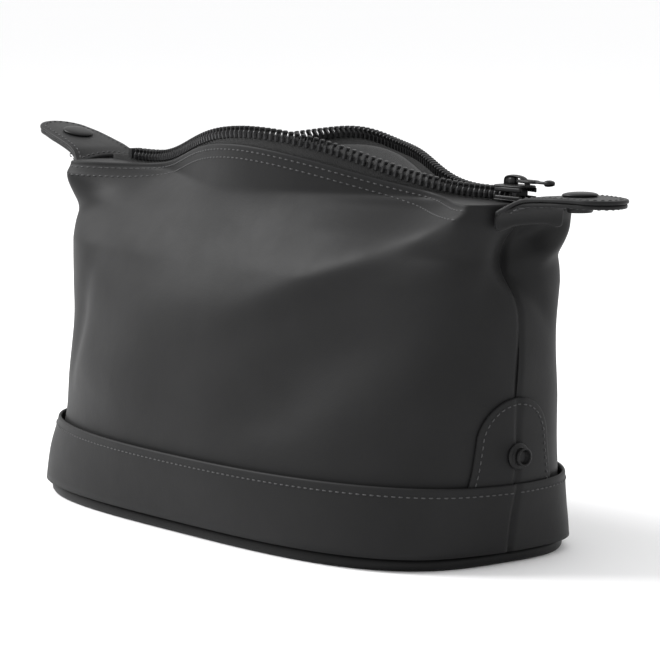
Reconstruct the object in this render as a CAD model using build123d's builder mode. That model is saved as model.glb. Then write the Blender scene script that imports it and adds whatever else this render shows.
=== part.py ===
"""Soft shaving kit bag with a wide zipped mouth, a base band, and two snap-down end tabs.

Frame: +Z up, X along the length, origin at the middle of the base panel's underside. Millimetres.
The two outer panels meet in a seam at the middle of each end. The mouth is modelled open, with the
zip slider parked at the +X end.
"""

import os
from math import atan2, cos, degrees, hypot, pi, radians, sin

from build123d import *

os.makedirs("parts", exist_ok=True)

# ---------------------------------------------------------------- driving dimensions
BAND_HEIGHT = 36.0  # top edge of the base band
MOUTH_HALF_GAP = 36.0  # how far each zip row bows out at the middle of the open mouth
MOUTH_REACH = 125.0  # distance from the middle at which the two rows meet
RIM_END, RIM_RISE, RIM_REACH = 156.0, 17.0, 118.0  # height of the turned hem: ends, extra at the middle
SEAM_HALF = 4.0  # half thickness of the closed mouth next to the zip's ends
WING, WING_START = 24.0, 90.0  # how far each top corner spreads, and from which distance to the middle
WING_LOW, WING_HIGH = 120.0, 150.0  # heights between which the spread comes in
OUTLINE_STEPS = 28  # spans of the curve along each half of an outline

PANEL, LINING, TAPE, PATCH, BAND = 1.6, 0.7, 0.7, 1.4, 1.6  # sheet thicknesses
TAPE_INSET = PANEL + 0.35  # tape lies just inside the panel
LINING_INSET = TAPE_INSET + TAPE + 0.15
POCKET_INSET = LINING_INSET + LINING + 0.3
PATCH_OFFSET = 0.2  # gap between panel and end patch
BAND_OFFSET = PATCH_OFFSET + PATCH + 0.2

FOOT_LENGTH, FOOT_WIDTH, FOOT_SQUARE = 140.0, 71.5, 3.2  # half length, half width and squareness of the base
FOOT_HEIGHT, FOOT_ROUND = 5.6, 2.2
# Rolled edge of the base: height, how far the outline is drawn in
ROLLED_EDGE = (
    (0.0, FOOT_ROUND),
    (0.8, 0.7),
    (FOOT_ROUND, 0.0),
    (3.6, 0.0),
    (4.9, 0.7),
    (FOOT_HEIGHT, FOOT_ROUND),
)
BOARD_Z, BOARD_THICK, BOARD_CUT = 5.8, 2.5, 6.0
FLOOR_Z, FLOOR_CUT = BOARD_Z + BOARD_THICK + 0.2, 7.5
WALL_BOTTOM = 5.9
WALL_TOP = 190.0

# Outer outline of the panels: height, half length, half width, squareness, share of the mouth's shape
STATIONS = (
    (WALL_BOTTOM - 4.0, 139.5, 70.0, 3.2, 0.0),
    (20.0, 142.0, 71.5, 2.7, 0.0),
    (BAND_HEIGHT, 143.3, 72.0, 2.35, 0.0),
    (62.0, 143.6, 70.0, 2.3, 0.0),
    (92.0, 146.0, 64.5, 2.35, 0.0),
    (120.0, 146.0, 55.0, 2.8, 0.0),
    (138.0, 146.0, 46.0, 3.6, 0.25),
    (150.0, 146.4, 41.0, 3.6, 0.75),
    (155.0, 147.0, SEAM_HALF + MOUTH_HALF_GAP, 2.5, 1.0),
    (WALL_TOP + 4.0, 147.0, SEAM_HALF + MOUTH_HALF_GAP, 2.5, 1.0),
)

# zip chain
TOOTH_PITCH, TOOTH_THICK = 3.2, 1.3
TAPE_RISE, TAPE_END_RISE, TAPE_DROP = 5.0, 2.6, 12.0  # tape above the hem, middle and ends; tape below it
CHAIN_LEFT, CHAIN_RIGHT = -127.0, 140.5
TAPE_END = 144.5

STOP_HALF, STOP_LOW, STOP_HIGH = 1.3, -1.2, 3.2

# zip slider
SLIDER_X, SLIDER_HALF = 141.0, 8.0
SLIDER_BOTTOM, SLIDER_TOP = RIM_END + 0.4, RIM_END + 7.4
SLIDER_WIDE, SLIDER_NARROW = 6.2, 5.3  # half widths at its mouth and at its tail
CHANNEL_HALF, CHANNEL_LOW, CHANNEL_HIGH = 4.2, SLIDER_BOTTOM + 0.9, SLIDER_TOP - 1.2
TAPE_SLOT_HALF = 2.8
WEDGE_X = SLIDER_X - SLIDER_HALF + 1.6
CROWN_HEIGHT, CROWN_HALF_WIDTH, CROWN_SLOT = 3.9, 1.5, 2.4

# zip pull: a fork round the slider's crown, a stem and a bar at its end
PULL_AXIS_X, PULL_AXIS_Z = SLIDER_X + 2.6, SLIDER_TOP + 1.6
PULL_THICK, PULL_ARM_IN, PULL_ARM_OUT, PULL_SLOT = 1.4, 1.9, 3.1, 9.8
PULL_STEM_END, PULL_STEM_HALF = 18.0, 2.2

# end tabs
HINGE_X, HINGE_Z = 151.0, 157.0
TAB_LENGTH, TAB_ROOT_HALF, TAB_THICK = 51.0, 19.5, 1.75
CAP_REACH, CAP_RADIUS, CAP_HEIGHT, CAP_ROUND = 28.0, 7.5, 2.9, 2.2
SOCKET_RADIUS, SOCKET_BORE, SOCKET_HEIGHT, SOCKET_DEPTH = 6.2, 4.5, 3.0, 2.2
SNAP_SHANK, SNAP_HOLE = 2.0, 2.2
ANCHOR_X, ANCHOR_THICK, ANCHOR_LOW, ANCHOR_HIGH = 147.2, 1.3, 145.0, 156.0
LEFT_LIFT, RIGHT_LIFT = 14.0, 2.0  # how far each tab stands above level, degrees

# end patches and studs
STUD_Z, STUD_FLANGE, STUD_POST, STUD_RECESS, STUD_BORE = 48.0, 5.8, 4.1, 3.1, 2.1
STUD_FLOOR, STUD_REACH = 1.8, 4.6
RIVET_HEAD, RIVET_THICK = 5.0, 0.5
PATCH_TOP, PATCH_SHOULDER, PATCH_SHOULDER_HALF = 73.0, 52.5, 19.5
PATCH_LOW, PATCH_LOW_HALF = 22.0, 27.0


# ---------------------------------------------------------------- shape of the soft body
def station(z):
    """Half length, half width, squareness and mouth share of the outline at height z."""
    for low, high in zip(STATIONS, STATIONS[1:]):
        if z <= high[0]:
            t = (z - low[0]) / (high[0] - low[0])
            return [a + t * (b - a) for a, b in zip(low[1:], high[1:])]
    return STATIONS[-1][1:]


def bell(x, reach):
    """1 at the middle, falling smoothly to 0 at reach."""
    return cos(pi * x / (2 * reach)) ** 2 if abs(x) < reach else 0.0


def ease(value, low, high):
    """0 below low, 1 above high, smooth in between."""
    t = max(0.0, min(1.0, (value - low) / (high - low)))
    return t * t * (3 - 2 * t)


def half_width(x, z, wing=WING):
    """Distance of the outer surface from the middle plane y = 0."""
    half_length, width, square, mouth = station(z)
    u = min(1.0, abs(x) / half_length)
    body = (1 - u**square) ** (1 / square)
    spread = wing * ease(abs(x), WING_START, half_length) * ease(z, WING_LOW, WING_HIGH)
    return SEAM_HALF + (width - SEAM_HALF) * ((1 - mouth) * body + mouth * bell(x, MOUTH_REACH)) + spread


def rim(x):
    """Height of the turned hem."""
    return RIM_END + RIM_RISE * bell(x, RIM_REACH)


def half_curve(z, inset, wing):
    """Points of the front half's outline at height z, moved in by inset, from -X to +X."""
    half_length = station(z)[0]
    points = []
    for i in range(OUTLINE_STEPS + 1):
        u = -cos(pi * i / OUTLINE_STEPS)
        y = min(inset - half_width(u * half_length, z, wing), -0.4)
        points.append((u * (half_length - inset), y))
    return points


def wall_section(z, outer, thick, wing):
    """Sketches the cut through a wall of the front half at height z."""
    outside = half_curve(z, outer, wing)
    inside = half_curve(z, outer + thick, wing)
    with BuildSketch(Plane.XY.offset(z)) as section:
        with BuildLine():
            Spline(*outside)
            Polyline(outside[-1], (outside[-1][0], 0), (inside[-1][0], 0), inside[-1])
            Spline(*inside)
            Polyline(inside[0], (inside[0][0], 0), (outside[0][0], 0), outside[0])
        make_face()
    return section.sketch


def half_wall(outer, thick, low, high, wing=WING):
    """A wall of the front half: thick millimetres, its outer face moved in by outer."""
    between = [s[0] for s in STATIONS if low + 1 < s[0] < high - 1]
    loft([wall_section(z, outer, thick, wing) for z in [low, *between, high]], ruled=True)


def hem_height(x, at_middle, at_ends):
    """A height over the hem that changes from the ends towards the middle."""
    return rim(x) + at_ends + (at_middle - at_ends) * bell(x, RIM_REACH)


def hem_profile(low, high):
    """Keeps what lies between two curves along the hem, each (at the middle, at the ends) or None for open."""
    reach, far, floor, ceiling = RIM_REACH, 230.0, -20.0, 260.0
    xs = [reach * k / 6 for k in range(-6, 7)]

    def edge(shifts):
        curve = [(x, hem_height(x, *shifts)) for x in xs]
        Line((-far, RIM_END + shifts[1]), curve[0])
        Spline(*curve, tangents=[(1, 0), (1, 0)])
        Line(curve[-1], (far, RIM_END + shifts[1]))

    low_end = floor if low is None else RIM_END + low[1]
    high_end = ceiling if high is None else RIM_END + high[1]
    with BuildSketch(Plane.XZ) as profile:
        with BuildLine():
            if low is None:
                Line((-far, floor), (far, floor))
            else:
                edge(low)
            if high is None:
                Line((-far, ceiling), (far, ceiling))
            else:
                edge(high)
            Line((-far, low_end), (-far, high_end))
            Line((far, low_end), (far, high_end))
        make_face()
    extrude(profile.sketch, amount=120, both=True, mode=Mode.INTERSECT)


def stud_hole(radius):
    """Drills both ends along X for the snap studs' rivets."""
    with BuildSketch(Plane.YZ) as hole:
        with Locations((0, STUD_Z)):
            Circle(radius)
    extrude(hole.sketch, amount=200, both=True, mode=Mode.SUBTRACT)


def closed_outline(z, half_length, width, square):
    """Sketches a squared oval at height z."""
    steps = 16
    front = []
    for i in range(steps + 1):
        u = -cos(pi * i / steps)
        front.append((u * half_length, -width * (1 - abs(u) ** square) ** (1 / square)))
    with BuildSketch(Plane.XY.offset(z)) as outline:
        with BuildLine():
            Spline(*front)
            Spline(*[(x, -y) for x, y in front])
        make_face()
    return outline.sketch


def save(builder, name):
    builder.part.label = name
    export_step(builder.part, f"parts/{name}.step")


def save_rear(front, name):
    """The rear copy of a front piece, mirrored across the middle plane."""
    with BuildPart() as rear:
        mirror(front.part, about=Plane.XZ)
    save(rear, name)


# ---------------------------------------------------------------- outer panels
with BuildPart() as front_panel:
    half_wall(0.0, PANEL, WALL_BOTTOM, WALL_TOP)
    hem_profile(None, (0.0, 0.0))
    stud_hole(SNAP_HOLE)
save(front_panel, "front_panel")
save_rear(front_panel, "rear_panel")

# ---------------------------------------------------------------- base band and base
with BuildPart() as front_band:
    half_wall(-BAND_OFFSET - BAND, BAND, WALL_BOTTOM, BAND_HEIGHT)
save(front_band, "front_base_band")
save_rear(front_band, "rear_base_band")

with BuildPart() as base_panel:
    loft(
        [closed_outline(z, FOOT_LENGTH - cut, FOOT_WIDTH - cut, FOOT_SQUARE) for z, cut in ROLLED_EDGE],
        ruled=True,
    )
save(base_panel, "base_panel")

with BuildPart() as base_board:
    board_shape = closed_outline(BOARD_Z, FOOT_LENGTH - BOARD_CUT, FOOT_WIDTH - BOARD_CUT, FOOT_SQUARE)
    extrude(board_shape, amount=BOARD_THICK)
save(base_board, "base_board")

# ---------------------------------------------------------------- lining and inner pocket
with BuildPart() as floor_lining:
    floor_shape = closed_outline(FLOOR_Z, FOOT_LENGTH - FLOOR_CUT, FOOT_WIDTH - FLOOR_CUT, FOOT_SQUARE)
    extrude(floor_shape, amount=LINING)
save(floor_lining, "floor_lining")

with BuildPart() as front_lining:
    half_wall(LINING_INSET, LINING, FLOOR_Z, WALL_TOP)
    hem_profile(None, (-TAPE_DROP - 0.5, -TAPE_DROP - 0.5))
save(front_lining, "front_lining")
save_rear(front_lining, "rear_lining")

POCKET_HALF, POCKET_LOW, POCKET_TOP = 62.0, 42.0, 112.0
with BuildPart() as pocket_front:
    half_wall(POCKET_INSET, LINING, POCKET_LOW - 6, POCKET_TOP + 6)
    with BuildSketch(Plane.XZ):
        with Locations((0, (POCKET_LOW + POCKET_TOP) / 2)):
            RectangleRounded(2 * POCKET_HALF, POCKET_TOP - POCKET_LOW, 6)
    extrude(amount=100, mode=Mode.INTERSECT)
save_rear(pocket_front, "slip_pocket")


# ---------------------------------------------------------------- zip tapes and teeth
with BuildPart() as front_tape:
    half_wall(TAPE_INSET, TAPE, RIM_END - TAPE_DROP - 6, WALL_TOP, wing=0.0)
    hem_profile((-TAPE_DROP, -TAPE_DROP), (TAPE_RISE, TAPE_END_RISE))
    with BuildSketch(Plane.XZ):
        with Locations((0, WALL_TOP / 2)):
            Rectangle(2 * TAPE_END, WALL_TOP * 1.2)
    extrude(amount=120, mode=Mode.INTERSECT)
save(front_tape, "front_zip_tape")
save_rear(front_tape, "rear_zip_tape")


def row_point(x):
    """Top edge of the front tape at x."""
    y = TAPE_INSET + TAPE / 2 - half_width(x, WALL_TOP, wing=0.0)
    return (x, y, hem_height(x, TAPE_RISE, TAPE_END_RISE))


def row_places(shift):
    """Places of the teeth along the front row: one every TOOTH_PITCH of its real length."""
    step, walked, due = 0.05, 0.0, shift
    before, x = row_point(CHAIN_LEFT), CHAIN_LEFT
    places = []
    while x < CHAIN_RIGHT:
        x += step
        here = row_point(x)
        run, side, rise = (b - a for a, b in zip(before, here))
        walked += hypot(run, side, rise)
        if walked >= due:
            due += TOOTH_PITCH
            behind_wedge = abs(x - WEDGE_X) < 2.2
            if not behind_wedge:
                turn, tilt = degrees(atan2(side, run)), -degrees(atan2(rise, hypot(run, side)))
                places.append(Location(here, (0, tilt, turn)))
        before = here
    return places


def tooth():
    """One moulded tooth: legs astride the tape's edge and a nose towards the other row."""
    legs = [(-1.7, -1.2), (-0.65, -1.2), (-0.65, 0.6), (0.65, 0.6), (0.65, -1.2), (1.6, -1.2)]
    nose = [(1.6, 1.0), (2.7, 1.3), (2.7, 2.9), (1.6, 3.2), (-1.1, 3.2), (-1.7, 2.4)]
    with BuildPart() as one:
        with BuildSketch(Plane.YZ.offset(-TOOTH_THICK / 2)):
            with BuildLine():
                Polyline(*legs, *nose, close=True)
            make_face()
        extrude(amount=TOOTH_THICK)
    return one.part


one_tooth = tooth()
with BuildPart() as front_teeth:
    for place in row_places(TOOTH_PITCH / 2):
        add(one_tooth.moved(place))
save(front_teeth, "front_zip_teeth")

with BuildPart() as shifted_teeth:
    for place in row_places(TOOTH_PITCH):
        add(one_tooth.moved(place))
save_rear(shifted_teeth, "rear_zip_teeth")

with BuildPart() as top_stops:
    for side in (-1, 1):
        x, y, z = row_point(CHAIN_LEFT - 2.4)
        with BuildSketch(Plane.YZ.offset(x - STOP_HALF)):
            with Locations((side * abs(y), z + (STOP_LOW + STOP_HIGH) / 2)):
                Rectangle(2.8, STOP_HIGH - STOP_LOW)
            with Locations((side * abs(y), z - 0.7)):
                Rectangle(1.6, 1.8, mode=Mode.SUBTRACT)
        extrude(amount=2 * STOP_HALF)
save(top_stops, "zip_top_stops")

with BuildPart() as bottom_stop:
    x, y, z = row_point(CHAIN_RIGHT + 1.6)
    with BuildSketch(Plane.YZ.offset(x - STOP_HALF / 2)):
        with Locations((0, z + STOP_HIGH / 2)):
            Rectangle(6.8, STOP_HIGH - 0.3)
    extrude(amount=2 * STOP_HALF)
save(bottom_stop, "zip_bottom_stop")

# ---------------------------------------------------------------- zip slider and pull
with BuildPart() as slider:
    with BuildSketch(Plane.XY.offset(SLIDER_BOTTOM)):
        with BuildLine():
            Polyline(
                (SLIDER_X - SLIDER_HALF, -SLIDER_WIDE),
                (SLIDER_X + SLIDER_HALF, -SLIDER_NARROW),
                (SLIDER_X + SLIDER_HALF, SLIDER_NARROW),
                (SLIDER_X - SLIDER_HALF, SLIDER_WIDE),
                close=True,
            )
        make_face()
        fillet(vertices(), 1.6)
    extrude(amount=SLIDER_TOP - SLIDER_BOTTOM)
    fillet(slider.edges().filter_by(Axis.X, reverse=True).group_by(Axis.Z)[-1], 0.5)
    with BuildSketch(Plane.YZ):
        with Locations((0, (CHANNEL_LOW + CHANNEL_HIGH) / 2)):
            Rectangle(2 * CHANNEL_HALF, CHANNEL_HIGH - CHANNEL_LOW)
        with Locations((0, SLIDER_BOTTOM)):
            Rectangle(2 * TAPE_SLOT_HALF, 4)
    extrude(amount=200, mode=Mode.SUBTRACT)
    with BuildSketch(Plane.XY.offset(CHANNEL_LOW + 0.5)):
        with Locations((WEDGE_X, 0)):
            Ellipse(1.3, 0.8)
    extrude(amount=CHANNEL_HIGH - CHANNEL_LOW)
    with BuildSketch(Plane.XZ):
        with BuildLine():
            Polyline(
                (SLIDER_X - 6.0, SLIDER_TOP - 0.4),
                (SLIDER_X - 4.0, SLIDER_TOP + CROWN_HEIGHT),
                (SLIDER_X + 3.6, SLIDER_TOP + CROWN_HEIGHT),
                (SLIDER_X + 6.0, SLIDER_TOP - 0.4),
                close=True,
            )
        make_face()
        with Locations((SLIDER_X + 0.6, PULL_AXIS_Z)):
            SlotOverall(7.4, CROWN_SLOT, mode=Mode.SUBTRACT)
    extrude(amount=CROWN_HALF_WIDTH, both=True)
save(slider, "zip_slider")

with BuildPart() as pull:
    with BuildSketch(Plane.XY.offset(PULL_AXIS_Z - PULL_THICK / 2)):
        with BuildLine():
            Polyline(
                (PULL_AXIS_X, -PULL_ARM_OUT),
                (PULL_AXIS_X + PULL_SLOT + 1.5, -PULL_ARM_OUT),
                (PULL_AXIS_X + PULL_STEM_END, -PULL_STEM_HALF),
                (PULL_AXIS_X + PULL_STEM_END, PULL_STEM_HALF),
                (PULL_AXIS_X + PULL_SLOT + 1.5, PULL_ARM_OUT),
                (PULL_AXIS_X, PULL_ARM_OUT),
                close=True,
            )
        make_face()
        with Locations((PULL_AXIS_X + PULL_SLOT / 2, 0)):
            Rectangle(PULL_SLOT, 2 * PULL_ARM_IN, mode=Mode.SUBTRACT)
    extrude(amount=PULL_THICK)
    with BuildSketch(Plane.XZ):
        with Locations((PULL_AXIS_X, PULL_AXIS_Z)):
            Circle(0.9)
    extrude(amount=PULL_ARM_OUT, both=True)
    with BuildSketch(Plane.XZ):
        with Locations((PULL_AXIS_X + PULL_STEM_END, PULL_AXIS_Z)):
            Circle(1.5)
    extrude(amount=2.4, both=True)
save(pull, "zip_pull")


# ---------------------------------------------------------------- end tabs with their snaps
def tab_plane(side, lift):
    """Plane of a tab: x runs from the fold line to the tip, z is the tab's upper side."""
    up, out = sin(radians(lift)), cos(radians(lift))
    return Plane(origin=(side * HINGE_X, 0, HINGE_Z), x_dir=(side * out, 0, up), z_dir=(-side * up, 0, out))


def tab_layer(plane, low, shrink):
    """One layer of a tab: straight root, sides that draw in, round tip."""
    tip, shoulder = TAB_LENGTH - shrink, TAB_LENGTH - 17.0
    side_line = [
        (0.0, TAB_ROOT_HALF - shrink),
        (6.0, TAB_ROOT_HALF - 1.8 - shrink),
        (20.0, TAB_ROOT_HALF - 2.3 - shrink),
        (shoulder, TAB_ROOT_HALF - 4.4 - shrink),
    ]
    with BuildPart() as layer:
        with BuildSketch(plane.offset(low)):
            with BuildLine():
                Spline(*side_line)
                ThreePointArc(side_line[-1], (tip, 0), (shoulder, -side_line[-1][1]))
                Spline(*[(x, -y) for x, y in reversed(side_line)])
                Line((0, shrink - TAB_ROOT_HALF), side_line[0])
            make_face()
            with Locations((CAP_REACH, 0)):
                Circle(SNAP_HOLE, mode=Mode.SUBTRACT)
        extrude(amount=TAB_THICK)
    return layer


def snap_cap(plane):
    """Domed cap and its shank, riveted through both layers."""
    seat = TAB_THICK + 0.2
    with BuildPart() as cap:
        with BuildSketch(plane.offset(seat)):
            with Locations((CAP_REACH, 0)):
                Circle(CAP_RADIUS)
        extrude(amount=CAP_HEIGHT)
        rims = cap.edges().filter_by(GeomType.CIRCLE).sort_by(Axis(plane.origin, plane.z_dir))
        fillet(rims[-1], CAP_ROUND)
        with BuildSketch(plane.offset(seat)):
            with Locations((CAP_REACH, 0)):
                Circle(SNAP_SHANK)
        extrude(amount=-seat - TAB_THICK - 0.9)
    return cap


def snap_socket(plane):
    """Ring under the tab that grips the stud on the end patch."""
    top = -TAB_THICK - 0.2
    with BuildPart() as socket:
        with BuildSketch(plane.offset(top)):
            with Locations((CAP_REACH, 0)):
                Circle(SOCKET_RADIUS)
                Circle(SNAP_HOLE, mode=Mode.SUBTRACT)
        extrude(amount=-SOCKET_HEIGHT)
        with BuildSketch(plane.offset(top - SOCKET_HEIGHT)):
            with Locations((CAP_REACH, 0)):
                Circle(SOCKET_BORE)
        extrude(amount=SOCKET_DEPTH, mode=Mode.SUBTRACT)
        fillet(socket.edges().filter_by(GeomType.CIRCLE).sort_by(SortBy.RADIUS)[-2:], 0.6)
    return socket


for side_name, side, lift in (("left", -1, LEFT_LIFT), ("right", 1, RIGHT_LIFT)):
    plane = tab_plane(side, lift)
    save(tab_layer(plane, 0.1, 0.0), f"{side_name}_tab_upper")
    save(tab_layer(plane, -0.1 - TAB_THICK, 0.6), f"{side_name}_tab_under")
    save(snap_cap(plane), f"{side_name}_snap_cap")
    save(snap_socket(plane), f"{side_name}_snap_socket")
    with BuildPart() as anchor:
        with BuildSketch(Plane.YZ.offset(side * ANCHOR_X)):
            with Locations((0, (ANCHOR_LOW + ANCHOR_HIGH) / 2)):
                RectangleRounded(2 * TAB_ROOT_HALF - 3, ANCHOR_HIGH - ANCHOR_LOW, 2)
        extrude(amount=side * ANCHOR_THICK)
    save(anchor, f"{side_name}_tab_anchor")


# ---------------------------------------------------------------- end patches and snap studs
wall_x = station(STUD_Z)[0]
with BuildPart() as patch_stock:
    half_wall(-PATCH_OFFSET - PATCH, PATCH, PATCH_LOW - 8.0, PATCH_TOP + 8.0)

with BuildPart() as right_patch:
    add(patch_stock.part)
    mirror(patch_stock.part, about=Plane.XZ)
    with BuildSketch(Plane.YZ.offset(100)):
        with BuildLine():
            Polyline(
                (-PATCH_SHOULDER_HALF, PATCH_SHOULDER),
                (-PATCH_LOW_HALF, PATCH_LOW),
                (PATCH_LOW_HALF, PATCH_LOW),
                (PATCH_SHOULDER_HALF, PATCH_SHOULDER),
            )
            ThreePointArc(
                (PATCH_SHOULDER_HALF, PATCH_SHOULDER),
                (0, PATCH_TOP),
                (-PATCH_SHOULDER_HALF, PATCH_SHOULDER),
            )
        make_face()
    extrude(amount=60, mode=Mode.INTERSECT)
    stud_hole(SNAP_HOLE)
save(right_patch, "right_end_patch")

with BuildPart() as left_patch:
    mirror(right_patch.part, about=Plane.YZ)
save(left_patch, "left_end_patch")

face_x = wall_x + PATCH_OFFSET + PATCH + 0.1
post_neck = STUD_POST - 0.4
with BuildPart() as right_stud:
    with BuildSketch(Plane.XZ):
        with BuildLine():
            Polyline(
                (face_x, STUD_Z + STUD_BORE),
                (face_x, STUD_Z + STUD_FLANGE),
                (face_x + 0.9, STUD_Z + STUD_FLANGE),
                (face_x + 1.3, STUD_Z + post_neck),
                (face_x + 3.0, STUD_Z + post_neck),
                (face_x + 3.6, STUD_Z + STUD_POST),
                (face_x + STUD_REACH, STUD_Z + post_neck),
                (face_x + STUD_REACH, STUD_Z + STUD_RECESS),
                (face_x + STUD_FLOOR, STUD_Z + STUD_RECESS),
                (face_x + STUD_FLOOR, STUD_Z + STUD_BORE),
                close=True,
            )
        make_face()
    revolve(axis=Axis((0, 0, STUD_Z), (1, 0, 0)))
save(right_stud, "right_snap_stud")

back_x = wall_x - PANEL - 0.2
tip_x = face_x + STUD_FLOOR + 0.9
with BuildPart() as right_rivet:
    with BuildSketch(Plane.XZ):
        with BuildLine():
            Polyline(
                (back_x - RIVET_THICK, STUD_Z),
                (back_x - RIVET_THICK, STUD_Z + RIVET_HEAD),
                (back_x, STUD_Z + RIVET_HEAD),
                (back_x, STUD_Z + SNAP_SHANK),
                (tip_x, STUD_Z + SNAP_SHANK),
                (tip_x, STUD_Z),
                close=True,
            )
        make_face()
    revolve(axis=Axis((0, 0, STUD_Z), (1, 0, 0)))
save(right_rivet, "right_stud_rivet")

for piece, name in ((right_stud, "left_snap_stud"), (right_rivet, "left_stud_rivet")):
    with BuildPart() as left_copy:
        mirror(piece.part, about=Plane.YZ)
    save(left_copy, name)
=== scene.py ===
"""Looks of the shaving kit bag: sewn shells, band, zip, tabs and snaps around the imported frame.

Lengths below are in millimetres in the row frame (+Z up, X along the bag, -Y the front panel) and are turned
into metres when a mesh is made.
"""

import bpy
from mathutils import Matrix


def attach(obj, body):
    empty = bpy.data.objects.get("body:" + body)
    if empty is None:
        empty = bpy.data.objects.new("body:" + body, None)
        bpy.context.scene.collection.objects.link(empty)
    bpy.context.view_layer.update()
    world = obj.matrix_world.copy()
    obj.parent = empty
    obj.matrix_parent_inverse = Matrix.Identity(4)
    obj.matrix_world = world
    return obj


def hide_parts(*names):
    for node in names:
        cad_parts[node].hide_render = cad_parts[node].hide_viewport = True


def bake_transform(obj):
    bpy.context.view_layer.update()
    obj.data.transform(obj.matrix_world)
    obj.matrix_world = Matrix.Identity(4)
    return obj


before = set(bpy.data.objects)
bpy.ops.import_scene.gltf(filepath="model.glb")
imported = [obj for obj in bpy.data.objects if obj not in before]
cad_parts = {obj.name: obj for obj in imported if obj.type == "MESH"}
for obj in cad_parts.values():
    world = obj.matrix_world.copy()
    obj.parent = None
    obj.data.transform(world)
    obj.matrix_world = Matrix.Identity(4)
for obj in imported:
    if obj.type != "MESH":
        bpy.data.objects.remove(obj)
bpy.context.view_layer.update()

from math import asin, cos, exp, hypot, pi, radians, sin, sqrt

import bmesh
import bpy
from mathutils import Matrix, Vector, noise

MM = 0.001

# ---------------------------------------------------------------- sizes shared with the CAD model
BAND_HEIGHT = 36.0
MOUTH_HALF_GAP, MOUTH_REACH = 36.0, 125.0
RIM_END, RIM_RISE, RIM_REACH = 156.0, 17.0, 118.0
SEAM_HALF = 4.0
PANEL, LINING, TAPE, PATCH, BAND = 1.6, 0.7, 0.7, 1.4, 1.6
TAPE_INSET = PANEL + 0.35
LINING_INSET = TAPE_INSET + TAPE + 0.15
POCKET_INSET = LINING_INSET + LINING + 0.3
PATCH_OFFSET = 0.2
BAND_INSET = -(PATCH_OFFSET + PATCH + 0.2 + BAND)
WALL_BOTTOM = 5.9
FOOT_LENGTH, FOOT_WIDTH, FOOT_SQUARE, FOOT_HEIGHT = 140.0, 71.5, 3.2, 5.6
FLOOR_Z = 8.5
HINGE_X, HINGE_Z = 151.0, 157.0
TAB_THICK, CAP_REACH = 1.75, 28.0
LIFT = {"left": 14.0, "right": 2.0}
SIDE = {"left": -1, "right": 1}
STUD_Z = 48.0
TOOTH_PITCH, TAPE_RISE, TAPE_END_RISE, TAPE_DROP = 3.2, 5.0, 2.6, 12.0
CHAIN_LEFT, CHAIN_RIGHT, TAPE_END = -127.0, 140.5, 144.5
SLIDER_X, SLIDER_BOTTOM, SLIDER_TOP = 141.0, 156.4, 163.4
PULL_AXIS_X, PULL_AXIS_Z = 143.6, 165.0

# spread of the top corners; the cloth spreads a little wider, and from higher up, than the CAD panels
WING, WING_START, WING_LOW, WING_HIGH = 27.0, 90.0, 131.0, 154.0

# height, half length, half width, squareness, share of the mouth's shape
STATIONS = (
    (1.9, 139.5, 70.0, 3.2, 0.0),
    (20.0, 142.0, 71.5, 2.7, 0.0),
    (36.0, 143.3, 72.0, 2.35, 0.0),
    (62.0, 143.6, 70.0, 2.3, 0.0),
    (92.0, 146.0, 64.5, 2.35, 0.0),
    (120.0, 146.0, 55.0, 2.8, 0.0),
    (138.0, 146.0, 46.0, 3.6, 0.25),
    (150.0, 146.4, 41.0, 3.6, 0.75),
    (155.0, 147.0, 40.0, 2.5, 1.0),
    (194.0, 147.0, 40.0, 2.5, 1.0),
)

# Soft folds of the panels: side, x, z, angle, half length, half breadth, how far they stand out
FOLDS = (
    (-1, 86.0, 128.0, 24.0, 62.0, 9.0, 3.4),
    (-1, 20.0, 112.0, 20.0, 46.0, 16.0, 2.2),
    (-1, 86.0, 92.0, 18.0, 44.0, 22.0, -6.0),
    (-1, 60.0, 60.0, 30.0, 40.0, 16.0, -2.0),
    (-1, -98.0, 128.0, -26.0, 34.0, 11.0, -3.2),
    (-1, -88.0, 146.0, -8.0, 34.0, 8.0, 1.6),
    (-1, -128.0, 98.0, 84.0, 34.0, 20.0, -1.0),
    (-1, -104.0, 84.0, 78.0, 34.0, 9.0, -2.0),
    (-1, -40.0, 74.0, 60.0, 50.0, 26.0, 2.2),
    (1, 82.0, 124.0, 20.0, 60.0, 10.0, 3.0),
    (1, 70.0, 90.0, 12.0, 50.0, 22.0, -4.6),
    (1, -70.0, 120.0, -18.0, 60.0, 12.0, 2.6),
    (1, -64.0, 84.0, -10.0, 54.0, 20.0, -4.2),
    (1, 0.0, 64.0, 70.0, 42.0, 26.0, 2.2),
)
# Folds of the end walls: y, z, angle, half length, half breadth, how far they stand out
END_FOLDS = (
    (16.0, 134.0, 18.0, 15.0, 4.5, 3.0),
    (14.0, 144.0, 12.0, 16.0, 4.5, -2.6),
    (10.0, 116.0, -50.0, 14.0, 5.0, -1.6),
    (-14.0, 122.0, 70.0, 22.0, 8.0, -2.0),
)
PINCH_Z, PINCH_SPAN, PINCH_DEPTH, PINCH_SWAY = 131.0, 13.0, 9.5, 2.5  # where the end seam folds in
FOOT_LEAN = -2.5  # the foot stands a little towards -X under the soft body


# ---------------------------------------------------------------- shape of the soft body
def ease(value, low, high):
    """0 below low, 1 above high, smooth in between."""
    t = max(0.0, min(1.0, (value - low) / (high - low)))
    return t * t * (3 - 2 * t)


def bump(value, centre, span):
    return exp(-(((value - centre) / span) ** 2))


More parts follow.
